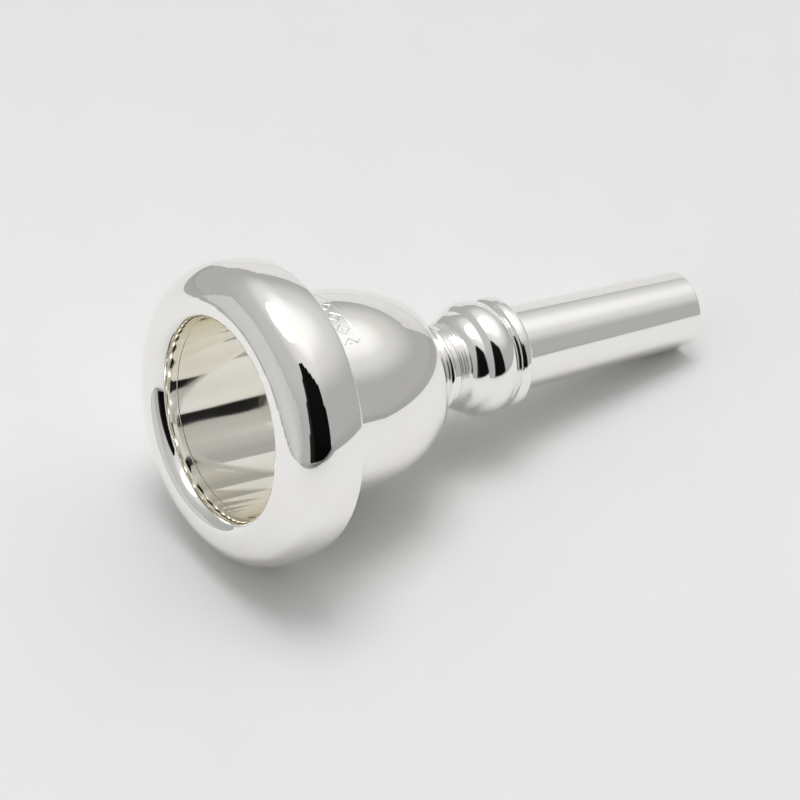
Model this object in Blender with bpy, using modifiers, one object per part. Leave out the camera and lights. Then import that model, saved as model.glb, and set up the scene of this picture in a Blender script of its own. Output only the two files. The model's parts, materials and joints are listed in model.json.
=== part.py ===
"""Large brass-instrument mouthpiece, screwed together from rim, cup and shank, lying on its side.

Every piece is turned about one axis.  A place along that axis is called a station: it is measured
from the front of the rim towards the open end of the shank.  An outline is a list of
(station, radius) points.
"""

import math

import bmesh
import bpy

MM = 0.001
SIDES = 36  # flat sides of every turned piece, and steps in one turn of a thread

# Room between pieces
SEAT_GAP = 0.3 * MM  # between faces that meet, and round each O-ring
WALL_OVERLAP = 0.3 * MM  # how far the foot of a thread is sunk in its wall

# Rim
BITE_DIAMETER = 32.6 * MM
BITE_DEPTH = 3.4 * MM  # from the front of the rim
RIM_WIDTH = 8.7 * MM  # from the bite to the outside
RIM_ROUND = 6.5 * MM
RIM_DEPTH = 12.9 * MM
RIM_REAR_DROP = 0.8 * MM  # how far the band closes in towards the rear
RIM_LAND = 1.0 * MM  # straight bore behind the bite
RIM_CORNER = 0.8 * MM

# Cup
LIP_WALL = 1.0 * MM
CUP_WALL = 0.75 * MM  # outside of the cup beyond the bite
CUP_STRAIGHT_END = 22.0 * MM
CUP_FLANK_PAST_BOWL = 0.6 * MM  # how far the long curve of the side runs past the bowl's end
CUP_HEEL_ROUND = 5.0 * MM  # radius of the turn from the side into the cove
CUP_COVE_ROUND = 1.94 * MM  # radius of the hollow turn from the heel into the neck
FLANK_ROUND_MOST = 2000 * MM
BOWL_DEPTH_CURVE = 2.9
BOWL_WALL_CURVE = 1.25
BOWL_END_DIAMETER = 8.8 * MM
BOWL_LAND = 0.5 * MM  # straight bore at the end of the bowl
STOP_HEIGHT = 0.7 * MM  # ring that closes the back of the rim, above the rim's O-ring seat
STOP_WIDTH = 1.2 * MM

# Neck, between cup and beads
NECK_SEAM = 44.6 * MM  # front face of the shank's shoulder
NECK_WALL = 0.3 * MM  # outside the groove of the O-ring
NECK_RING_SETBACK = 1.7 * MM  # from the seam
NECK_RING_ROUND = 0.8 * MM
NECK_RING_HEIGHT = 0.55 * MM
GROOVE_PITCH = 0.6 * MM
GROOVE_DEPTH = 0.2 * MM
GROOVE_WIDTH = 0.5  # share of the pitch
GROOVE_MARGIN = 0.35  # plain length before the first groove, as a share of the pitch
GROOVE_COUNT = 3

# Shank; heights are above the neck
SHANK_LENGTH_END = 96.0 * MM  # station of the open end
SHANK_END_DIAMETER = 13.0 * MM
SHANK_END_WALL = 1.1 * MM
SHANK_TAPER = 1 / 27  # change of diameter per unit of length
SHANK_CORNER = 0.25 * MM
FRONT_BEAD_HEIGHT = 1.47 * MM
FRONT_BEAD_ROUND = 3.76 * MM
FRONT_BEAD_END = 96  # where the front bead gives way to the step; its crown would be at 90 degrees
BEAD_STEP_WIDTH = 0.55 * MM
BEAD_STEP_HEIGHT = 1.96 * MM  # where the rear bead starts
REAR_BEAD_HEIGHT = 2.7 * MM
REAR_BEAD_ROUND = 4.6 * MM
COLLAR_CREASE_HEIGHT = 1.55 * MM
COLLAR_HEIGHT = 2.4 * MM
COLLAR_EDGE_HEIGHT = 2.2 * MM
COLLAR_WIDTH = 2.4 * MM
COLLAR_EDGE = 0.15  # chamfer of the collar, as a share of its width
THROAT_DIAMETER = 8.2 * MM
THROAT_PAST_BOWL = 6.0 * MM

# Screw threads
RIM_THREAD = {"pitch": 1.2 * MM, "height": 0.9 * MM}
SHANK_THREAD = {"pitch": 1.0 * MM, "height": 0.5 * MM}
THREAD_LEAD_IN = 0.6  # plain length before the turns, as a share of the pitch
TENON_LENGTH = 8.3 * MM
TENON_WALL = 0.65 * MM  # between the throat and the root of the tenon's thread
RIDGE_FOOT = 0.5  # width of a ridge at its foot, as a share of the pitch
RIDGE_CREST = 0.2

# O-rings
RIM_RING_SECTION = 1.3 * MM
SHANK_RING_SECTION = 0.9 * MM
SHANK_RING_SETBACK = 3.95 * MM  # from the seam
RING_SIDES = 8

# Worked out from the sizes above
BITE = BITE_DIAMETER / 2
RIM = BITE + RIM_WIDTH
RIM_LEDGE = BITE_DEPTH + RIM_LAND
LIP = RIM_LEDGE + SEAT_GAP
LIP_OUTER = BITE + LIP_WALL
RIM_RING_CENTRE = LIP_OUTER + SEAT_GAP + RIM_RING_SECTION / 2
STOP_FRONT = RIM_DEPTH - STOP_WIDTH
RIM_RING_STATION = STOP_FRONT - SEAT_GAP - RIM_RING_SECTION / 2
RIM_RING_RELIEF = RIM_RING_CENTRE + RIM_RING_SECTION / 2 + SEAT_GAP
RIM_RELIEF_START = RIM_RING_STATION - RIM_RING_SECTION / 2 - SEAT_GAP
RIM_THREAD_ROOT = LIP_OUTER + RIM_THREAD["height"] + SEAT_GAP
STOP = RIM_RING_RELIEF + STOP_HEIGHT
CUP = BITE + CUP_WALL
THROAT = THROAT_DIAMETER / 2
TENON_FRONT = NECK_SEAM - TENON_LENGTH
BOWL_END = TENON_FRONT - SEAT_GAP
TENON = THROAT + TENON_WALL
TENON_PLAIN = TENON + SHANK_THREAD["height"]
SOCKET = TENON_PLAIN + SEAT_GAP
SHANK_RING_STATION = NECK_SEAM - SHANK_RING_SETBACK
SHANK_RING_CENTRE = SOCKET + SHANK_RING_SECTION / 2
SHANK_RING_GROOVE = SHANK_RING_CENTRE + SHANK_RING_SECTION / 2 + SEAT_GAP
SHANK_GROOVE_FRONT = SHANK_RING_STATION - SHANK_RING_SECTION / 2 - SEAT_GAP
NECK = SHANK_RING_GROOVE + NECK_WALL


def thread_turns(size, room):
    """How many half turns of a thread fit in the room along the axis, counted in turns."""
    return math.floor(2 * (room / size["pitch"] - THREAD_LEAD_IN - RIDGE_FOOT / 2)) / 2


RIM_THREAD["turns"] = thread_turns(RIM_THREAD, RIM_RELIEF_START - LIP)
SHANK_THREAD["turns"] = thread_turns(SHANK_THREAD, SHANK_GROOVE_FRONT - TENON_FRONT)


def arc(centre_station, centre_radius, size, first, last, steps):
    """Points on a circle in the outline; 0 degrees points to the open end, 90 degrees outwards."""
    points = []
    for step in range(steps + 1):
        angle = math.radians(first + (last - first) * step / steps)
        points.append((centre_station + size * math.cos(angle), centre_radius + size * math.sin(angle)))
    return points


def bead_angle(radius, crown, size):
    """How far round a bead, from 0 degrees towards its crown at 90, it has the given radius."""
    return math.degrees(math.asin((radius - crown + size) / size))


def bead(start, start_radius, crown, size, last, steps):
    """A round bead that starts at a crease and runs to the angle last; its points, front to rear."""
    first = bead_angle(start_radius, crown, size)
    reach_front = size * math.cos(math.radians(first))
    return arc(start + reach_front, crown - size, size, 180 - first, last, steps)


def rim_outline():
    """Closed outline of the rim: outside from rear to front, then inside from front to rear."""
    run = RIM_DEPTH - RIM_ROUND
    band_round = (run**2 + RIM_REAR_DROP**2) / (2 * RIM_REAR_DROP)
    corner_angle = math.degrees(math.acos((run - RIM_CORNER) / (band_round - RIM_CORNER)))
    reach = (band_round - RIM_CORNER) * math.sin(math.radians(corner_angle))
    corner = arc(RIM_DEPTH - RIM_CORNER, RIM - band_round + reach, RIM_CORNER, 0, corner_angle, 3)
    band = arc(RIM_ROUND, RIM - band_round, band_round, corner_angle, 90, 2)
    crown = arc(RIM_ROUND, RIM - RIM_ROUND, RIM_ROUND, 90, 180, 7)
    inner = []
    crown_radius = RIM - RIM_ROUND
    for step in range(1, 5):
        angle = math.radians(90 * step / 4)
        station = BITE_DEPTH * (1 - math.cos(angle))
        inner.append((station, crown_radius - (crown_radius - BITE) * math.sin(angle)))
    counterbore = STOP + SEAT_GAP
    bore = [
        (RIM_LEDGE, BITE),
        (RIM_LEDGE, RIM_THREAD_ROOT),
        (RIM_RELIEF_START, RIM_THREAD_ROOT),
        (RIM_RELIEF_START, RIM_RING_RELIEF),
        (STOP_FRONT - SEAT_GAP, RIM_RING_RELIEF),
        (STOP_FRONT - SEAT_GAP, counterbore),
        (RIM_DEPTH, counterbore),
    ]
    return corner + band[1:] + crown[1:] + inner + bore


def bowl_radius(station):
    """Radius of the cup's bowl, from its lip down to the land at its end."""
    depth = (station - LIP) / (BOWL_END - BOWL_LAND - LIP)
    drop = (1 - depth**BOWL_DEPTH_CURVE) ** (1 / BOWL_WALL_CURVE)
    return BOWL_END_DIAMETER / 2 + (BITE - BOWL_END_DIAMETER / 2) * drop


def flank_round():
    """Radius of the long curve of the cup's side that brings the heel down to the cove."""
    run = BOWL_END + CUP_FLANK_PAST_BOWL - CUP_STRAIGHT_END
    low, high = run, FLANK_ROUND_MOST
    for _ in range(60):
        middle = (low + high) / 2
        cosine = math.sqrt(1 - (run / middle) ** 2)
        if CUP - middle + (middle - CUP_HEEL_ROUND) * cosine > NECK + CUP_COVE_ROUND:
            high = middle
        else:
            low = middle
    return high, math.degrees(math.asin(run / high))


def cup_flank():
    """Outside of the cup from its straight part to the neck, front to rear."""
    size, lean = flank_round()
    flank = arc(CUP_STRAIGHT_END, CUP - size, size, 90, 90 - lean, 5)
    end_station, end_radius = flank[-1]
    heel_station = end_station - CUP_HEEL_ROUND * math.sin(math.radians(lean))
    heel_radius = end_radius - CUP_HEEL_ROUND * math.cos(math.radians(lean))
    heel = arc(heel_station, heel_radius, CUP_HEEL_ROUND, 90 - lean, 0, 4)
    cove_size = heel_radius - NECK
    cove = arc(heel_station + CUP_HEEL_ROUND + cove_size, heel_radius, cove_size, 180, 270, 3)
    return flank + heel[1:] + cove[1:]


def cup_outline():
    """Closed outline of the cup: outside from rear to front, then bowl and socket."""
    seam = NECK_SEAM - SEAT_GAP
    ring = bead(
        NECK_SEAM - NECK_RING_SETBACK - NECK_RING_ROUND,
        NECK,
        NECK + NECK_RING_HEIGHT,
        NECK_RING_ROUND,
        bead_angle(NECK, NECK + NECK_RING_HEIGHT, NECK_RING_ROUND),
        4,
    )
    outside = [(LIP, LIP_OUTER), (STOP_FRONT, LIP_OUTER), (STOP_FRONT, STOP)]
    outside += [(RIM_DEPTH, STOP), (RIM_DEPTH, CUP)]
    outside += cup_flank() + ring + [(seam, NECK)]
    bowl = []
    steps = 8
    for step in range(steps + 1):
        station = LIP + (BOWL_END - BOWL_LAND - LIP) * math.sin(math.radians(90 * step / steps))
        bowl.append((station, bowl_radius(station)))
    groove_rear = SHANK_RING_STATION + SHANK_RING_SECTION / 2 + SEAT_GAP
    socket = [
        (BOWL_END, BOWL_END_DIAMETER / 2),
        (BOWL_END, SOCKET),
        (SHANK_GROOVE_FRONT, SOCKET),
        (SHANK_GROOVE_FRONT, SHANK_RING_GROOVE),
        (groove_rear, SHANK_RING_GROOVE),
        (groove_rear, SOCKET),
        (seam, SOCKET),
    ]
    return outside[::-1] + bowl + socket


def turned_grooves():
    """Fine grooves on the neck behind the seam, front to rear."""
    points = [(NECK_SEAM, NECK)]
    for count in range(GROOVE_COUNT):
        start = NECK_SEAM + GROOVE_PITCH * (count + GROOVE_MARGIN)
        points.append((start, NECK))
        points.append((start + GROOVE_PITCH * GROOVE_WIDTH / 2, NECK - GROOVE_DEPTH))
        points.append((start + GROOVE_PITCH * GROOVE_WIDTH, NECK))
    return points


def shank_beads():
    """The two beads and the collar, front to rear; the last point is on the collar's rear face."""
    start = NECK_SEAM + GROOVE_PITCH * (GROOVE_COUNT + GROOVE_MARGIN)
    front = bead(start, NECK, NECK + FRONT_BEAD_HEIGHT, FRONT_BEAD_ROUND, FRONT_BEAD_END, 5)
    crown = NECK + REAR_BEAD_HEIGHT
    last = bead_angle(NECK + COLLAR_CREASE_HEIGHT, crown, REAR_BEAD_ROUND)
    step_end = front[-1][0] + BEAD_STEP_WIDTH
    rear = bead(step_end, NECK + BEAD_STEP_HEIGHT, crown, REAR_BEAD_ROUND, last, 8)
    collar_front = rear[-1][0]
    collar = [
        (collar_front + COLLAR_WIDTH * COLLAR_EDGE, NECK + COLLAR_EDGE_HEIGHT),
        (collar_front + COLLAR_WIDTH / 2, NECK + COLLAR_HEIGHT),
        (collar_front + COLLAR_WIDTH * (1 - COLLAR_EDGE), NECK + COLLAR_HEIGHT),
        (collar_front + COLLAR_WIDTH, NECK + COLLAR_EDGE_HEIGHT),
    ]
    return front + rear + collar


def shank_outline():
    """Closed outline of the shank: outside from rear to front, then its bore."""
    beads = shank_beads()
    end = SHANK_END_DIAMETER / 2
    collar_rear = beads[-1][0]
    root = end + (SHANK_LENGTH_END - collar_rear) * SHANK_TAPER / 2
    thread_end = TENON_FRONT + SHANK_THREAD["pitch"] * (SHANK_THREAD["turns"] + 2 * THREAD_LEAD_IN)
    outside = [(TENON_FRONT, TENON), (thread_end, TENON), (thread_end, TENON_PLAIN)]
    outside += [(NECK_SEAM, TENON_PLAIN)]
    outside += turned_grooves() + beads
    outside += [(collar_rear, root), (SHANK_LENGTH_END - SHANK_CORNER, end)]
    outside += [(SHANK_LENGTH_END, end - SHANK_CORNER)]
    bore = [
        (TENON_FRONT, BOWL_END_DIAMETER / 2),
        (TENON_FRONT + SHANK_THREAD["pitch"], THROAT),
        (BOWL_END + THROAT_PAST_BOWL, THROAT),
        (SHANK_LENGTH_END, end - SHANK_END_WALL),
    ]
    return outside[::-1] + bore


def ring_outline(station, centre_radius, section):
    """Round section of an O-ring, from its outer side down and round."""
    return arc(station, centre_radius, section / 2, 0, 360, RING_SIDES)[:-1]


def resting_place(front_outline, rear_outline):
    """Tilt of the axis below level, and place of the rim's front, when both pieces touch the floor."""
    flat = math.cos(math.pi / SIDES)  # a flat side, and not a corner, is underneath
    front = [(station, radius * flat) for station, radius in front_outline]
    rear = [(station, radius * flat) for station, radius in rear_outline]
    tilt = 0.2
    for _ in range(8):
        sine, cosine = math.sin(tilt), math.cos(tilt)
        front_touch = max(front, key=lambda point: point[0] * sine + point[1] * cosine)
        rear_touch = max(rear, key=lambda point: point[0] * sine + point[1] * cosine)
        tilt = math.atan2(front_touch[1] - rear_touch[1], rear_touch[0] - front_touch[0])
    sine, cosine = math.sin(tilt), math.cos(tilt)
    height = front_touch[0] * sine + front_touch[1] * cosine
    first = min(station * cosine - radius * sine for station, radius in front)
    last = max(station * cosine + radius * sine for station, radius in rear)
    return tilt, (-(first + last) / 2, 0, height)


def metal(name, colour, roughness, metallic):
    """A plain Principled material."""
    material = bpy.data.materials.new(name)
    material.use_nodes = True
    shader = material.node_tree.nodes["Principled BSDF"]
    shader.inputs["Base Color"].default_value = (*colour, 1)
    shader.inputs["Roughness"].default_value = roughness
    shader.inputs["Metallic"].default_value = metallic
    return material


def place(item, collection, axis):
    """Puts an object in a collection, on the mouthpiece's axis."""
    collection.objects.link(item)
    item.parent = axis
    item.rotation_euler[2] = math.pi / SIDES
    return item


def turned(name, outline, material, collection, axis):
    """A turned piece: its outline with a Screw modifier about the axis."""
    mesh = bpy.data.meshes.new(name)
    points = [(radius, 0, station) for station, radius in outline]
    count = len(points)
    mesh.from_pydata(points, [(i, (i + 1) % count) for i in range(count)], [])
    mesh.materials.append(material)
    item = place(bpy.data.objects.new(name, mesh), collection, axis)
    screw = item.modifiers.new("turn", "SCREW")
    screw.axis = "Z"
    screw.steps = SIDES
    screw.render_steps = SIDES
    screw.use_merge_vertices = True
    screw.merge_threshold = 0.01 * MM
    screw.use_smooth_shade = True
    return item


def thread(name, size, foot, outwards, start, collection, axis):
    """One helical ridge: a four-sided section carried round and along the axis."""
    way = 1 if outwards else -1
    pitch = size["pitch"]
    crest = foot + way * size["height"]
    sunk = foot - way * WALL_OVERLAP
    half_foot = pitch * RIDGE_FOOT / 2
    half_crest = pitch * RIDGE_CREST / 2
    half_sunk = half_foot + (half_foot - half_crest) * WALL_OVERLAP / size["height"]
    section = [(sunk, -half_sunk), (sunk, half_sunk), (crest, half_crest), (crest, -half_crest)]
    mesh = bpy.data.meshes.new(name)
    build = bmesh.new()
    corners = [build.verts.new((radius, 0, start + along)) for radius, along in section]
    face = build.faces.new(corners)
    steps = round(size["turns"] * SIDES)
    bmesh.ops.spin(
        build,
        geom=[face, *corners, *face.edges],
        cent=(0, 0, 0),
        axis=(0, 0, 1),
        dvec=(0, 0, pitch / SIDES),
        angle=2 * math.pi * steps / SIDES,
        steps=steps,
    )
    bmesh.ops.recalc_face_normals(build, faces=build.faces)
    build.to_mesh(mesh)
    build.free()
    ridge = place(bpy.data.objects.new(name, mesh), collection, axis)
    ridge.hide_render = True
    ridge.display_type = "WIRE"
    return ridge


def join(item, ridge):
    """Joins a ridge to a turned piece."""
    union = item.modifiers.new(ridge.name, "BOOLEAN")
    union.operation = "UNION"
    union.solver = "EXACT"
    union.object = ridge


def main():
    for item in list(bpy.data.objects):
        bpy.data.objects.remove(item)
    pieces = bpy.data.collections.new("mouthpiece")
    helpers = bpy.data.collections.new("threads")
    bpy.context.scene.collection.children.link(pieces)
    bpy.context.scene.collection.children.link(helpers)

    tilt, place_of_front = resting_place(rim_outline(), shank_outline())
    axis = bpy.data.objects.new("mouthpiece_axis", None)
    pieces.objects.link(axis)
    axis.location = place_of_front
    axis.rotation_euler[1] = math.pi / 2 + tilt

    silver = metal("silver_plate", (0.93, 0.92, 0.89), 0.08, 1.0)
    rubber = metal("black_rubber", (0.02, 0.02, 0.02), 0.6, 0.0)

    rim = turned("rim", rim_outline(), silver, pieces, axis)
    cup = turned("cup", cup_outline(), silver, pieces, axis)
    shank = turned("shank", shank_outline(), silver, pieces, axis)
    turned(
        "rim_o_ring",
        ring_outline(RIM_RING_STATION, RIM_RING_CENTRE, RIM_RING_SECTION),
        rubber,
        pieces,
        axis,
    )
    turned(
        "shank_o_ring",
        ring_outline(SHANK_RING_STATION, SHANK_RING_CENTRE, SHANK_RING_SECTION),
        rubber,
        pieces,
        axis,
    )

    for item, name, size, foot, outwards, edge in (
        (cup, "cup_front_thread", RIM_THREAD, LIP_OUTER, True, LIP),
        (rim, "rim_thread", RIM_THREAD, RIM_THREAD_ROOT, False, LIP),
        (shank, "tenon_thread", SHANK_THREAD, TENON, True, TENON_FRONT),
        (cup, "socket_thread", SHANK_THREAD, SOCKET, False, TENON_FRONT),
    ):
        start = edge + size["pitch"] * THREAD_LEAD_IN
        if not outwards:
            start -= size["pitch"] / 2  # the inner ridge lies midway between turns of the outer one
        join(item, thread(name, size, foot, outwards, start, helpers, axis))


main()
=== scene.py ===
import json
import math

import bpy
from mathutils import Matrix, Vector


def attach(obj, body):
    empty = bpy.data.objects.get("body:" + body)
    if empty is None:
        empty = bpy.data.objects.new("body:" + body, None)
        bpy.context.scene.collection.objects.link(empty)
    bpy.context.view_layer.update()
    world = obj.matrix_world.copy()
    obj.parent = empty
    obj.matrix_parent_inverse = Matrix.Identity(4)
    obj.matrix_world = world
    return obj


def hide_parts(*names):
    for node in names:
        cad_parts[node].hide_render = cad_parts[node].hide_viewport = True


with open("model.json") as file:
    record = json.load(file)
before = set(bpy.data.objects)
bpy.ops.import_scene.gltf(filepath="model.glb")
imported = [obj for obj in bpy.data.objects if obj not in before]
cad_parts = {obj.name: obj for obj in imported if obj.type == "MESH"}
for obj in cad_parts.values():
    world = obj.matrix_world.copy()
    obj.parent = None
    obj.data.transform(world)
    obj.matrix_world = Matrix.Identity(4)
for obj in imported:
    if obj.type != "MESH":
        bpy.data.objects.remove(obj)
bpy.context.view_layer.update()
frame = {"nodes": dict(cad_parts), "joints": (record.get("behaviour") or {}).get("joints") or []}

mm = 0.001


# the turning axis, as the two screw joints give it

joints = {joint["name"]: joint for joint in frame["joints"]}
axisWay = Vector(joints["shank_turn"]["axis"]).normalized()  # from the rim towards the open end
axisSpot = Vector(joints["shank_turn"]["pos_m"])


def stationsOf(nodeName):
    # how far along the axis a CAD node reaches, and its widest radius
    places = [corner.co - axisSpot for corner in frame["nodes"][nodeName].data.vertices]
    along = [place.dot(axisWay) for place in places]
    widest = max((place - axisWay * place.dot(axisWay)).length for place in places)
    return min(along), max(along), widest


rimFront, rimRear, rimRadius = stationsOf("rim")
shankRear = stationsOf("shank")[1]
frontSpot = axisSpot + axisWay * rimFront  # middle of the rim's front
tilt = math.asin(-axisWay.z)
layDown = Matrix.Translation(frontSpot) @ Matrix.Rotation(math.pi / 2 + tilt, 4, "Y")
length = shankRear - rimFront
rimDepth = rimRear - rimFront
print("axis", [round(value, 4) for value in axisWay])
print("length", round(length, 4), "rim", round(rimRadius, 4))


# outlines: lists of (station from the rim's front, radius), front to rear outside, then back inside

def arc(station, radius, size, first, last, every=3):
    # 0 degrees points to the open end, 90 degrees outwards
    count = max(2, math.ceil(abs(last - first) / every))
    points = []
    for step in range(count + 1):
        angle = math.radians(first + (last - first) * step / count)
        points.append((station + size * math.cos(angle), radius + size * math.sin(angle)))
    return points


def rounded(corners, size):
    # breaks each sharp corner of an open outline with a small round
    steps = 4
    most = 0.45  # share of a side that one round may take
    points = [corners[0]]
    for before, here, after in zip(corners, corners[1:], corners[2:]):
        a = Vector(before) - Vector(here)
        b = Vector(after) - Vector(here)
        cut = min(size, a.length * most, b.length * most)
        start = Vector(here) + a.normalized() * cut
        end = Vector(here) + b.normalized() * cut
        for step in range(steps + 1):
            share = step / steps
            mix = start * (1 - share) ** 2 + Vector(here) * 2 * share * (1 - share) + end * share**2
            points.append((mix.x, mix.y))
    points.append(corners[-1])
    return points


def supported(points):
    # adds a point close to each end of a long straight, so that shading stays flat between small rounds
    near = 0.08 * mm
    result = []
    for here, after in zip(points, points[1:] + points[:1]):
        result.append(here)
        step = Vector(after) - Vector(here)
        if step.length > 4 * near:
            for share in (near / step.length, 1 - near / step.length):
                result.append((here[0] + step.x * share, here[1] + step.y * share))
    return result


def beadAngle(radius, crown, size):
    return math.degrees(math.asin((radius - crown + size) / size))


def bead(start, startRadius, crown, size, last):
    # a round bead from a crease at its front to the angle last
    first = beadAngle(startRadius, crown, size)
    return arc(start + size * math.cos(math.radians(first)), crown - size, size, 180 - first, last)


# turned pieces

mergeGap = 0.001 * mm
sharpAngle = 32  # degrees; a sharper fold stays an edge
ridge = {  # a thread's ridge: widths and starts are shares of its pitch
    "sides": 96,
    "turnedBy": math.pi / 36,  # as on the CAD
    "halfFoot": 0.25,
    "halfCrest": 0.1,
    "outerStart": 0.6,
    "innerStart": 0.1,
}


def deselectAll():
    if bpy.context.mode != "OBJECT":
        bpy.ops.object.mode_set(mode="OBJECT")
    bpy.ops.object.select_all(action="DESELECT")


def drawOutline(outline):
    # extrudes one vertex round a closed outline, and stays in edit mode
    deselectAll()
    bpy.ops.mesh.primitive_plane_add(size=mm, location=(0, 0, 0))
    drawn = bpy.context.object
    bpy.ops.object.mode_set(mode="EDIT")
    bpy.ops.mesh.select_all(action="SELECT")
    bpy.ops.mesh.merge(type="CENTER")
    station, radius = outline[0]
    bpy.ops.transform.translate(value=(radius, 0, station))
    for nextStation, nextRadius in outline[1:] + outline[:1]:
        move = (nextRadius - radius, 0, nextStation - station)
        bpy.ops.mesh.extrude_vertices_move(TRANSFORM_OT_translate={"value": move})
        station, radius = nextStation, nextRadius
    bpy.ops.mesh.select_all(action="SELECT")
    bpy.ops.mesh.remove_doubles(threshold=mergeGap)
    return drawn


def turnPiece(name, outline, sides):
    # spins an outline about the axis
    piece = drawOutline(outline)
    piece.name = name
    bpy.ops.mesh.spin(steps=sides, angle=math.tau, center=(0, 0, 0), axis=(0, 0, 1))
    bpy.ops.mesh.select_all(action="SELECT")
    bpy.ops.mesh.remove_doubles(threshold=mergeGap)
    bpy.ops.mesh.normals_make_consistent(inside=False)
    bpy.ops.object.mode_set(mode="OBJECT")
    return piece


def threadRidge(section, pitch, turns):
    # a four-cornered section screwed along the axis, its two ends closed
    coil = drawOutline(section)
    bpy.ops.object.mode_set(mode="OBJECT")
    screw = coil.modifiers.new("turns", "SCREW")
    screw.axis = "Z"
    screw.angle = math.tau * turns
    screw.screw_offset = pitch * turns
    screw.steps = round(ridge["sides"] * turns)
    screw.render_steps = screw.steps
    bpy.ops.object.modifier_apply(modifier=screw.name)
    coil.rotation_euler.z = ridge["turnedBy"]
    bpy.ops.object.transform_apply(location=False, rotation=True, scale=False)
    bpy.ops.object.mode_set(mode="EDIT")
    bpy.ops.mesh.select_all(action="SELECT")
    bpy.ops.mesh.fill_holes(sides=4)
    bpy.ops.mesh.select_all(action="SELECT")
    bpy.ops.mesh.normals_make_consistent(inside=False)
    bpy.ops.object.mode_set(mode="OBJECT")
    return coil


def addThread(piece, size, foot, outwards, edge):
    # a helical ridge sunk a little in its wall, joined to the piece; edge is where its room begins
    way = 1 if outwards else -1
    start = edge + size["pitch"] * ridge["outerStart" if outwards else "innerStart"]
    crest = foot + way * size["height"]
    sunk = foot - way * size["room"]
    halfFoot = size["pitch"] * ridge["halfFoot"]
    halfCrest = size["pitch"] * ridge["halfCrest"]
    halfSunk = halfFoot + (halfFoot - halfCrest) * size["room"] / size["height"]
    section = [(-halfSunk, sunk), (halfSunk, sunk), (halfCrest, crest), (-halfCrest, crest)]
    section = [(start + along, radius) for along, radius in section]
    coil = threadRidge(section, size["pitch"], size["turns"])
    deselectAll()
    coil.select_set(True)
    piece.select_set(True)
    bpy.context.view_layer.objects.active = piece
    bpy.ops.object.join()


def finishPiece(piece, body, node, material):
    # lays the piece down on the axis, shades it and ties it to the frame
    deselectAll()
    piece.select_set(True)
    bpy.context.view_layer.objects.active = piece
    piece.matrix_world = layDown
    bpy.ops.object.transform_apply(location=True, rotation=True, scale=True)
    bpy.ops.object.shade_smooth_by_angle(angle=math.radians(sharpAngle))
    piece.data.materials.clear()
    piece.data.materials.append(material)
    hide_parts(node)
    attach(piece, body)
    print("made", piece.name, len(piece.data.polygons), "faces")


# sizes that more than one piece uses

rim = {
    "sides": 256,
    "faceSteps": 30,
    "bite": 16.3 * mm,
    "biteDepth": 3.4 * mm,
    "round": 6.5 * mm,
    "drop": 0.8 * mm,  # how far the band closes in towards its rear
    "corner": 0.8 * mm,
    "edge": 0.14 * mm,
    "land": 1.0 * mm,
}
thread = {"pitch": 1.2 * mm, "turns": 3, "height": 0.9 * mm, "room": 0.3 * mm, "foot": 17.3 * mm}
socket = {"pitch": 1.0 * mm, "turns": 2.5, "height": 0.5 * mm, "room": 0.3 * mm, "foot": 4.75 * mm}
tenonRun = 1.2  # how far the thin part of the tenon runs on past its thread, in pitches
threadEdge = 4.7 * mm  # where the room for the rim's thread begins
seam = 0.05 * mm  # what shows between two screwed-up faces
lip = rim["biteDepth"] + rim["land"] + seam
stop = {"radius": 19.9 * mm, "width": 1.2 * mm}
ringSize = {"rim": 1.3 * mm, "shank": 0.9 * mm}  # thickness of each O-ring
tenonFront = 36.3 * mm
neckSeam = 44.6 * mm
cup = {
    "sides": 256,
    "radius": 17.05 * mm,
    "straightEnd": 22.0 * mm,
    "flankRound": 31.0 * mm,
    "flankEnd": 36.6 * mm,
    "heelRound": 5.0 * mm,
    "bowlEnd": 36.0 * mm,
    "bowlLand": 0.5 * mm,
    "bowlEndRadius": 4.4 * mm,
    "bowlCurve": (2.9, 1.25),  # powers: how full the bottom is, and how straight the wall
    "bowlSteps": 72,
    "neck": 7.05 * mm,
    "ringStart": 42.1 * mm,
    "ringRound": 0.8 * mm,
    "ringHeight": 0.55 * mm,
    "sealGroove": 40.65 * mm,  # middle of the groove that holds the shank's O-ring
    "frontEdge": 0.1 * mm,
    "rearEdge": 0.06 * mm,
}


# materials

class Wire:
    # wraps a socket, so that sums on it add Math nodes
    def __init__(self, tree, socket):
        self.tree = tree
        self.socket = socket

    def math(self, operation, other=None, swapped=False):
        node = self.tree.nodes.new("ShaderNodeMath")
        node.operation = operation
        values = [self, other] if other is not None else [self]
        if swapped:
            values.reverse()
        for index, value in enumerate(values):
            if isinstance(value, Wire):
                self.tree.links.new(value.socket, node.inputs[index])
            else:
                node.inputs[index].default_value = value
        return Wire(self.tree, node.outputs[0])

    def __add__(self, other):
        return self.math("ADD", other)

    def __sub__(self, other):
        return self.math("SUBTRACT", other)

    def __rsub__(self, other):
        return self.math("SUBTRACT", other, True)

    def __mul__(self, other):
        return self.math("MULTIPLY", other)

    def __truediv__(self, other):
        return self.math("DIVIDE", other)

    def __lt__(self, other):
        return self.math("LESS_THAN", other)

    def __gt__(self, other):
        return self.math("GREATER_THAN", other)


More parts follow.
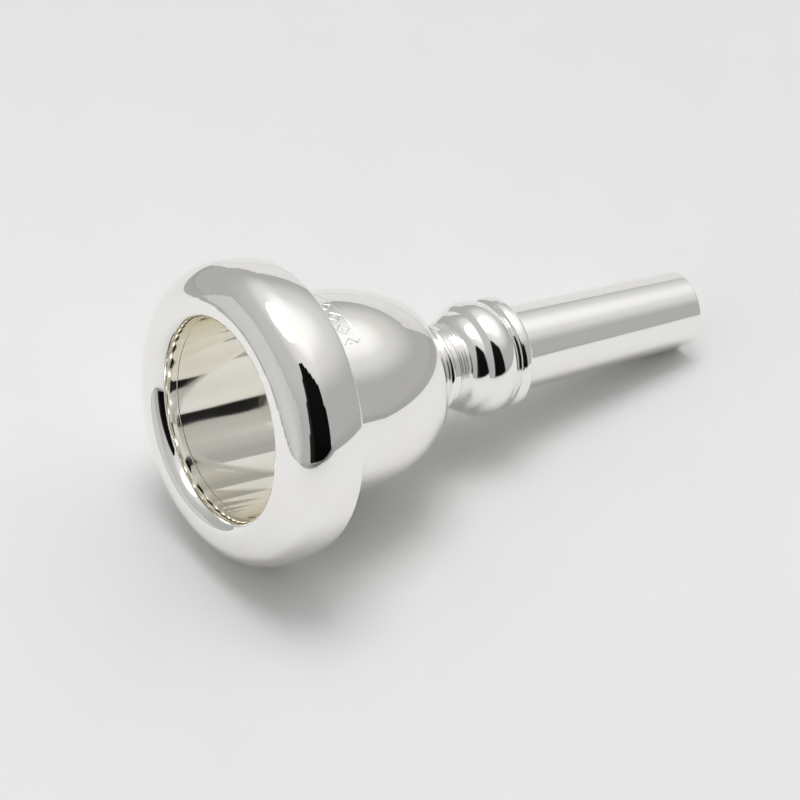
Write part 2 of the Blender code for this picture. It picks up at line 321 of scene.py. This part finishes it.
class Finish:
    # a material whose nodes are added one call at a time
    def __init__(self, name):
        self.material = bpy.data.materials.new(name)
        self.material.use_nodes = True
        self.tree = self.material.node_tree
        self.shader = self.tree.nodes["Principled BSDF"]

    def node(self, kind, settings=(), output=0, **values):
        made = self.tree.nodes.new("ShaderNode" + kind)
        for name, value in dict(settings).items():
            setattr(made, name, value)
        for name, value in values.items():
            slot = made.inputs[int(name[1:]) if name[1:].isdigit() else name.replace("_", " ")]
            self.feed(slot, value)
        return Wire(self.tree, made.outputs[output])

    def split(self, vector):
        return [self.node("SeparateXYZ", output=index, Vector=vector) for index in range(3)]

    def feed(self, slot, value):
        if isinstance(value, Wire):
            self.tree.links.new(value.socket, slot)
        else:
            slot.default_value = value

    def shade(self, **values):
        for name, value in values.items():
            self.feed(self.shader.inputs[name.replace("_", " ")], value)


polish = {
    "colour": (0.955, 0.948, 0.922, 1),
    "haze": (0.95, 0.925, 0.865, 1),  # thin tarnish in patches
    "roughness": {"rim": 0.035, "cup": 0.035, "shank": 0.085},
    "patches": 90.0,  # noise scales, per metre
    "marks": 420.0,
    "waves": 105.0,
    "lines": 5200.0,
    "twist": 0.0006,  # how slowly the turned lines change round the axis
    "smearRange": (0.5, 0.75),
    "hazeRange": (0.45, 0.8),
    "smear": 0.05,  # how much rougher finger marks are
    "wave": 0.007 * mm,  # height of the buffing waves
    "toolMark": 0.0006 * mm,
}
engraving = {
    "middle": 181,  # degrees round the axis
    "spread": 25,
    "station": 19.3 * mm,
    "count": 36,  # figures in a full turn
    "halfLength": 1.4 * mm,
    "halfWidth": 1.25 * mm,
    "line": 0.15,  # these four are shares of half a figure
    "lozenge": 0.85,
    "dot": 0.32,
    "rails": 1.2,
    "depth": 0.06 * mm,
    "skin": 1.5 * mm,  # keeps the cut off the bowl
}


def groove(distance, halfWidth):
    # 1 in the middle of a V-shaped line, 0 outside it
    return (1 - distance.math("ABSOLUTE") / halfWidth).math("MAXIMUM", 0)


def silverFinish(name, piece, engraved=False):
    # polished plate: buffing waves, fine turned lines, finger marks, and a chain of lozenges if engraved
    finish = Finish(name)
    place = finish.node("TexCoord", output=3)
    upright = finish.node(
        "Mapping",
        {"vector_type": "TEXTURE"},
        Vector=place,
        Location=frontSpot,
        Rotation=(0, math.pi / 2 + tilt, 0),
    )
    across, aside, along = finish.split(upright)
    radius = (across * across + aside * aside).math("SQRT")
    angle = aside.math("ARCTAN2", across)
    patches = finish.node("TexNoise", Vector=place, Scale=polish["patches"], Detail=4.0, Roughness=0.6)
    marks = finish.node("TexNoise", Vector=place, Scale=polish["marks"], Detail=3.0, Roughness=0.7)
    low, high = polish["smearRange"]
    smears = finish.node("MapRange", Value=patches, From_Min=low, From_Max=high) * marks
    turned = finish.node("CombineXYZ", X=radius, Y=along, Z=angle * polish["twist"])
    lines = finish.node("TexNoise", Vector=turned, Scale=polish["lines"], Detail=2.0)
    waves = finish.node("TexNoise", Vector=upright, Scale=polish["waves"], Detail=1.0)
    height = waves * polish["wave"] + lines * polish["toolMark"]
    if engraved:
        turn = (angle + math.radians(360 - engraving["middle"])).math("WRAP", math.pi)
        turn.socket.node.inputs[2].default_value = -math.pi
        cell = (turn * (engraving["count"] / math.tau)).math("FRACT") - 0.5
        width = math.tau * cup["radius"] / engraving["count"]
        sideways = (cell * width).math("ABSOLUTE") / engraving["halfWidth"]
        lengthways = (along - engraving["station"]).math("ABSOLUTE") / engraving["halfLength"]
        ring = sideways + lengthways
        outline = groove(ring - engraving["lozenge"], engraving["line"])
        dot = groove(ring, engraving["dot"])
        rails = groove(lengthways - engraving["rails"], engraving["line"] / 2)
        inside = turn.math("ABSOLUTE") < math.radians(engraving["spread"])
        outer = radius > cup["radius"] - engraving["skin"]
        cut = outline.math("MAXIMUM", dot).math("MAXIMUM", rails) * inside * outer
        height = height - cut * engraving["depth"]
    bump = finish.node("Bump", Height=height, Strength=1.0, Distance=1.0)
    low, high = polish["hazeRange"]
    haze = finish.node("MapRange", Value=patches, From_Min=low, From_Max=high)
    tint = finish.node(
        "Mix", {"data_type": "RGBA"}, output=2, s0=haze, s6=polish["colour"], s7=polish["haze"]
    )
    finish.shade(
        Base_Color=tint,
        Metallic=1.0,
        Roughness=smears * polish["smear"] + polish["roughness"][piece],
        Normal=bump,
    )
    return finish.material


def rubberFinish():
    finish = Finish("sealRubber")
    finish.shade(Base_Color=(0.02, 0.02, 0.02, 1), Roughness=0.6)
    return finish.material


silver = silverFinish("mirrorSilver", "rim")
engravedSilver = silverFinish("engravedSilver", "cup", True)
drawnSilver = silverFinish("drawnSilver", "shank")
rubber = rubberFinish()


# screw rim

def rimOutline():
    crown = rimRadius - rim["round"]
    outside = arc(rim["round"], crown, rim["round"], 180, 90)
    run = rimDepth - rim["round"]
    bandRound = (run**2 + rim["drop"] ** 2) / (2 * rim["drop"])
    small = rim["corner"]
    cornerAngle = math.degrees(math.acos((run - small) / (bandRound - small)))
    reach = (bandRound - small) * math.sin(math.radians(cornerAngle))
    band = arc(rim["round"], rimRadius - bandRound, bandRound, 90, cornerAngle, 1)
    rear = arc(rimDepth - small, rimRadius - bandRound + reach, small, cornerAngle, 0, 6)
    counterbore = stop["radius"] + seam
    relief = thread["foot"] + 3 * thread["room"] + ringSize["rim"]
    stopFront = rimDepth - stop["width"] - seam
    root = thread["foot"] + thread["height"] + thread["room"]
    reliefStart = stopFront - ringSize["rim"] - 2 * thread["room"]
    back = [
        rear[-1],
        (rimDepth, counterbore),
        (stopFront, counterbore),
        (stopFront, relief),
        (reliefStart, relief),
        (reliefStart, root),
        (rim["biteDepth"] + rim["land"], root),
        (rim["biteDepth"] + rim["land"], rim["bite"]),
        (rim["biteDepth"], rim["bite"]),
    ]
    inner = []
    for step in range(rim["faceSteps"], 0, -1):
        angle = math.radians(90 * step / rim["faceSteps"])
        reach = crown - (crown - rim["bite"]) * math.sin(angle)
        inner.append((rim["biteDepth"] * (1 - math.cos(angle)), reach))
    return supported(outside[:-1] + band[:-1] + rear[:-1] + rounded(back, rim["edge"]) + inner[1:])


screwRim = turnPiece("screwRim", rimOutline(), rim["sides"])
addThread(screwRim, thread, thread["foot"] + thread["height"] + thread["room"], False, threadEdge)
finishPiece(screwRim, "rim", "rim", silver)


# cup

def cupOutline():
    lean = math.degrees(math.asin((cup["flankEnd"] - cup["straightEnd"]) / cup["flankRound"]))
    flank = arc(cup["straightEnd"], cup["radius"] - cup["flankRound"], cup["flankRound"], 90, 90 - lean, 1)
    endStation, endRadius = flank[-1]
    heelStation = endStation - cup["heelRound"] * math.sin(math.radians(lean))
    heelRadius = endRadius - cup["heelRound"] * math.cos(math.radians(lean))
    heel = arc(heelStation, heelRadius, cup["heelRound"], 90 - lean, 0)
    cove = heelRadius - cup["neck"]
    hollow = arc(heelStation + cup["heelRound"] + cove, heelRadius, cove, 180, 270)
    ringCrown = cup["neck"] + cup["ringHeight"]
    ringEnd = beadAngle(cup["neck"], ringCrown, cup["ringRound"])
    ring = bead(cup["ringStart"], cup["neck"], ringCrown, cup["ringRound"], ringEnd)
    stopFront = rimDepth - stop["width"]
    rear = neckSeam - seam
    socketBore = socket["foot"] + socket["height"] + socket["room"]
    grooveRadius = socketBore + ringSize["shank"] + socket["room"]
    grooveReach = ringSize["shank"] / 2 + socket["room"]
    grooveFront = cup["sealGroove"] - grooveReach
    grooveRear = cup["sealGroove"] + grooveReach
    front = rounded(
        [
            (lip, thread["foot"]),
            (stopFront, thread["foot"]),
            (stopFront, stop["radius"]),
            (rimDepth, stop["radius"]),
            (rimDepth, cup["radius"]),
            flank[0],
        ],
        cup["frontEdge"],
    )
    behind = rounded(
        [
            ring[-1],
            (rear, cup["neck"]),
            (rear, socketBore),
            (grooveRear, socketBore),
            (grooveRear, grooveRadius),
            (grooveFront, grooveRadius),
            (grooveFront, socketBore),
            (cup["bowlEnd"], socketBore),
            (cup["bowlEnd"], cup["bowlEndRadius"]),
        ],
        cup["rearEdge"],
    )
    bowl = []
    deepCurve, wallCurve = cup["bowlCurve"]
    bottom = cup["bowlEnd"] - cup["bowlLand"]
    for step in range(cup["bowlSteps"], -1, -1):
        depth = math.sin(math.radians(90 * step / cup["bowlSteps"]))
        drop = (1 - depth**deepCurve) ** (1 / wallCurve)
        station = lip + (bottom - lip) * depth
        bowl.append((station, cup["bowlEndRadius"] + (rim["bite"] - cup["bowlEndRadius"]) * drop))
    return supported(front[:-1] + flank + heel[1:] + hollow[1:] + ring + behind[1:] + bowl)


bowlCup = turnPiece("bowlCup", cupOutline(), cup["sides"])
addThread(bowlCup, thread, thread["foot"], True, threadEdge)
addThread(bowlCup, socket, socket["foot"] + socket["height"] + socket["room"], False, tenonFront)
finishPiece(bowlCup, "cup", "cup", engravedSilver)


# shank

shank = {
    "sides": 224,
    "end": 6.5 * mm,
    "taper": 1 / 27,
    "neck": 7.05 * mm,
    "grooves": 3,
    "groovePitch": 0.6 * mm,
    "grooveLead": 0.35,  # plain part before each groove, in groove pitches
    "grooveWidth": 0.3 * mm,
    "grooveDepth": 0.2 * mm,
    "throat": 4.1 * mm,
    "throatEnd": 42.0 * mm,
    "backboreEnd": 5.4 * mm,
    "frontBead": {"crown": 8.52 * mm, "round": 3.76 * mm, "end": 96},
    "step": (0.55 * mm, 9.01 * mm),  # width, and radius at its rear
    "rearBead": {"crown": 9.75 * mm, "round": 4.6 * mm},
    "collarCrease": 8.6 * mm,
    "collar": 9.45 * mm,
    "collarEdge": 9.25 * mm,
    "collarWidth": 2.4 * mm,
    "collarShares": (0.15, 0.5, 0.85),  # of its width: where it has risen, and where its flat runs
    "frontEdge": 0.06 * mm,
    "rearEdge": 0.2 * mm,
}


def shankOutline():
    plain = socket["foot"] + socket["height"]
    threadEnd = tenonFront + socket["pitch"] * (socket["turns"] + tenonRun)
    front = [
        (tenonFront, socket["foot"]),
        (threadEnd, socket["foot"]),
        (threadEnd, plain),
        (neckSeam, plain),
        (neckSeam, shank["neck"]),
    ]
    for count in range(shank["grooves"]):
        start = neckSeam + shank["groovePitch"] * (count + shank["grooveLead"])
        front.append((start, shank["neck"]))
        front.append((start + shank["grooveWidth"] / 2, shank["neck"] - shank["grooveDepth"]))
        front.append((start + shank["grooveWidth"], shank["neck"]))
    beadStart = neckSeam + shank["groovePitch"] * (shank["grooves"] + shank["grooveLead"])
    first = shank["frontBead"]
    second = shank["rearBead"]
    frontBead = bead(beadStart, shank["neck"], first["crown"], first["round"], first["end"])
    stepWidth, stepRadius = shank["step"]
    rearEnd = beadAngle(shank["collarCrease"], second["crown"], second["round"])
    rearStart = frontBead[-1][0] + stepWidth
    rearBead = bead(rearStart, stepRadius, second["crown"], second["round"], rearEnd)
    collar = rearBead[-1][0]
    width = shank["collarWidth"]
    collarRear = collar + width
    root = shank["end"] + (length - collarRear) * shank["taper"] / 2
    risen, flatStart, flatEnd = shank["collarShares"]
    band = [
        (collar + width * risen, shank["collarEdge"]),
        (collar + width * flatStart, shank["collar"]),
        (collar + width * flatEnd, shank["collar"]),
        (collarRear, shank["collarEdge"]),
        (collarRear, root),
        (length, shank["end"]),
        (length, shank["backboreEnd"]),
        (shank["throatEnd"], shank["throat"]),
        (tenonFront + socket["pitch"], shank["throat"]),
        (tenonFront, cup["bowlEndRadius"]),
    ]
    ends = rounded([rearBead[-1]] + band, shank["rearEdge"])
    return supported(rounded(front, shank["frontEdge"]) + frontBead + rearBead[1:-1] + ends)


tailShank = turnPiece("tailShank", shankOutline(), shank["sides"])
addThread(tailShank, socket, socket["foot"], True, tenonFront)
finishPiece(tailShank, "shank", "shank", drawnSilver)


# O-rings

ringSides = 96
ringStep = 15  # degrees round a ring's section

for node, body, spot in (("rim_o_ring", "rim_ring", "rim"), ("shank_o_ring", "shank_ring", "shank")):
    low, high, widest = stationsOf(node)
    size = ringSize[spot] / 2
    outline = arc((low + high) / 2 - rimFront, widest - size, size, 0, 360, ringStep)[:-1]
    sealRing = turnPiece(spot + "SealRing", outline, ringSides)
    finishPiece(sealRing, body, node, rubber)


# camera

view = {
    "azimuth": -34.34,
    "elevation": 40.49,
    "distance": 0.7008,
    "target": (-0.01222, -0.00445, 0.018),
    "lens": 193.5,
    "sensor": 36,
    "near": 0.05,
    "far": 20,
}


def setCamera():
    lens = bpy.data.cameras.new("viewCamera")
    camera = bpy.data.objects.new("viewCamera", lens)
    bpy.context.scene.collection.objects.link(camera)
    azimuth = math.radians(view["azimuth"])
    elevation = math.radians(view["elevation"])
    back = Vector((
        math.sin(azimuth) * math.cos(elevation),
        -math.cos(azimuth) * math.cos(elevation),
        math.sin(elevation),
    ))
    camera.location = Vector(view["target"]) + back * view["distance"]
    camera.rotation_euler = (math.pi / 2 - elevation, 0, azimuth)
    lens.lens = view["lens"]
    lens.sensor_width = view["sensor"]
    lens.clip_start = view["near"]
    lens.clip_end = view["far"]
    bpy.context.scene.camera = camera


setCamera()


# floor and light: a white sheet on a pale table, a dome that glows behind the shank, two white cards
# that stand on the floor and glow a little as painted light, and two dark ones that the metal shows as a window
# a direction is (side, lift) in degrees: azimuth from the camera's, positive to its right, and height

light = {
    "dome": 0.43,
    "glows": (  # what each adds, its direction, and the cosines between which it fades in
        (0.10, (0, 90), (0.35, 0.85)),
        (0.24, (135, 62), (0.6, 0.86)),
        (0.28, (135, 62), (0.84, 0.96)),
        (5.0, (178, 79), (0.945, 0.985)),
    ),
    "tint": (1, 0.998, 0.995, 1),
    "bounces": 24,  # a polished bowl passes light round its wall many times
}
sheets = {
    "paleTable": {"size": (8, 8), "height": -0.6 * mm, "white": 0.42},
    "whiteSheet": {"size": (0.46, 0.76), "height": 0, "white": 0.88},
}
paper = {
    "lift": 0.02,  # makes up for what the noises take away on average
    "mottle": 0.03,
    "mottleScale": 14.0,
    "fibres": 0.012,
    "fibreScale": 900.0,
    # painted shade: how much darker the sheet is painted towards its back, and over what depth
    "paintedShade": 0.07,
    "paintedShadeDepth": 0.2,
}
cards = {
    # each card's glow is painted light: it makes the card brighter than the light falling on it would
    "frontCard": {"side": -65, "away": 0.36, "size": (0.75, 0.30), "white": 0.86, "glow": 0.1},
    "backCard": {"side": 167, "away": 0.36, "size": (0.40, 0.12), "white": 0.86, "glow": 0.3},
}
windowMiddle = (31, 30)
darkCards = {  # corners are directions seen from the rim
    "nightWindow": {"away": 0.62, "corners": ((12, -1), (17, 66), (34, 66), (63, 42), (58, -3)), "white": 0.006},
    "duskWindow": {"away": 0.63, "corners": ((0, -1), (13, 60), (18, 66), (20, -1)), "white": 0.03},
}


def towards(side, lift):
    azimuth = math.radians(view["azimuth"] + side)
    lift = math.radians(lift)
    level = math.cos(lift)
    return Vector((math.sin(azimuth) * level, -math.cos(azimuth) * level, math.sin(lift)))


def plainPaint(name, white, glow=0.0):
    paint = Finish(name)
    paint.shade(Base_Color=(white, white * 0.998, white, 1), Roughness=0.8, Specular_IOR_Level=0.1)
    # the emission is painted light, which brightens a card beyond what falls on it
    paint.shade(Emission_Color=(1, 1, 1, 1), Emission_Strength=glow)
    return paint.material


def paperPaint(name, white, size):
    # paper: faint mottle and fibres, and painted shade that makes it a little darker towards its back
    paint = Finish(name)
    place = paint.node("TexCoord", output=3)
    depth = paint.split(place)[1]
    # painted shade: the colour darkens towards the back of the sheet
    paintedShade = paint.node("MapRange", Value=depth, From_Max=paper["paintedShadeDepth"], To_Max=paper["paintedShade"])
    mottle = paint.node("TexNoise", Vector=place, Scale=paper["mottleScale"] / size, Detail=6.0)
    fibres = paint.node("TexNoise", Vector=place, Scale=paper["fibreScale"], Detail=2.0)
    shade = white + paper["lift"] - mottle * paper["mottle"] - fibres * paper["fibres"] - paintedShade
    grey = paint.node("CombineColor", Red=shade, Green=shade, Blue=shade)
    paint.shade(Base_Color=grey, Roughness=0.75, Specular_IOR_Level=0.15)
    return paint.material


def addCard(name, card):
    # a flat white card that stands on the floor and faces the rim, and glows a little as painted light
    width, height = card["size"]
    way = towards(card["side"], 0)
    spot = way * card["away"] + frontSpot
    spot.z = height / 2
    deselectAll()
    bpy.ops.mesh.primitive_plane_add(size=1, location=spot)
    panel = bpy.context.object
    panel.name = name
    panel.rotation_euler = (-way).to_track_quat("Z", "Y").to_euler()
    panel.scale = (width, height, 1)
    panel.data.materials.append(plainPaint(name, card["white"], card["glow"]))
    panel.visible_camera = False


def addDarkCard(name, card):
    # a flat card with its corners in given directions
    middle = towards(*windowMiddle)
    deselectAll()
    bpy.ops.mesh.primitive_circle_add(vertices=len(card["corners"]), fill_type="NGON", radius=1)
    panel = bpy.context.object
    panel.name = name
    for corner, (side, lift) in zip(panel.data.vertices, card["corners"]):
        way = towards(side, lift)
        corner.co = frontSpot + way * (card["away"] / way.dot(middle))
    panel.data.materials.append(plainPaint(name, card["white"]))
    panel.visible_camera = False


def buildDome():
    world = bpy.data.worlds.new("softDome")
    world.use_nodes = True
    bpy.context.scene.world = world
    tree = world.node_tree
    coords = tree.nodes.new("ShaderNodeTexCoord")
    strength = light["dome"]
    for extra, direction, (start, end) in light["glows"]:
        facing = tree.nodes.new("ShaderNodeVectorMath")
        facing.operation = "DOT_PRODUCT"
        tree.links.new(coords.outputs["Generated"], facing.inputs[0])
        facing.inputs[1].default_value = towards(*direction)
        ramp = tree.nodes.new("ShaderNodeMapRange")
        ramp.interpolation_type = "SMOOTHSTEP"
        ramp.inputs["From Min"].default_value = start
        ramp.inputs["From Max"].default_value = end
        tree.links.new(facing.outputs["Value"], ramp.inputs["Value"])
        strength = Wire(tree, ramp.outputs["Result"]) * extra + strength
    tree.links.new(strength.socket, tree.nodes["Background"].inputs["Strength"])
    tree.nodes["Background"].inputs["Color"].default_value = light["tint"]


def buildStage():
    for name, sheet in sheets.items():
        deselectAll()
        bpy.ops.mesh.primitive_plane_add(size=1, location=(frontSpot.x, 0, sheet["height"]))
        plane = bpy.context.object
        plane.name = name
        plane.scale = (*sheet["size"], 1)
        plane.rotation_euler.z = math.radians(view["azimuth"])
        plane.data.materials.append(paperPaint(name, sheet["white"], sheet["size"][0]))
    for name, card in cards.items():
        addCard(name, card)
    for name, card in darkCards.items():
        addDarkCard(name, card)
    buildDome()
    bpy.context.scene.view_settings.view_transform = "Standard"
    bpy.context.scene.cycles.max_bounces = light["bounces"]
    bpy.context.scene.cycles.glossy_bounces = light["bounces"]


buildStage()
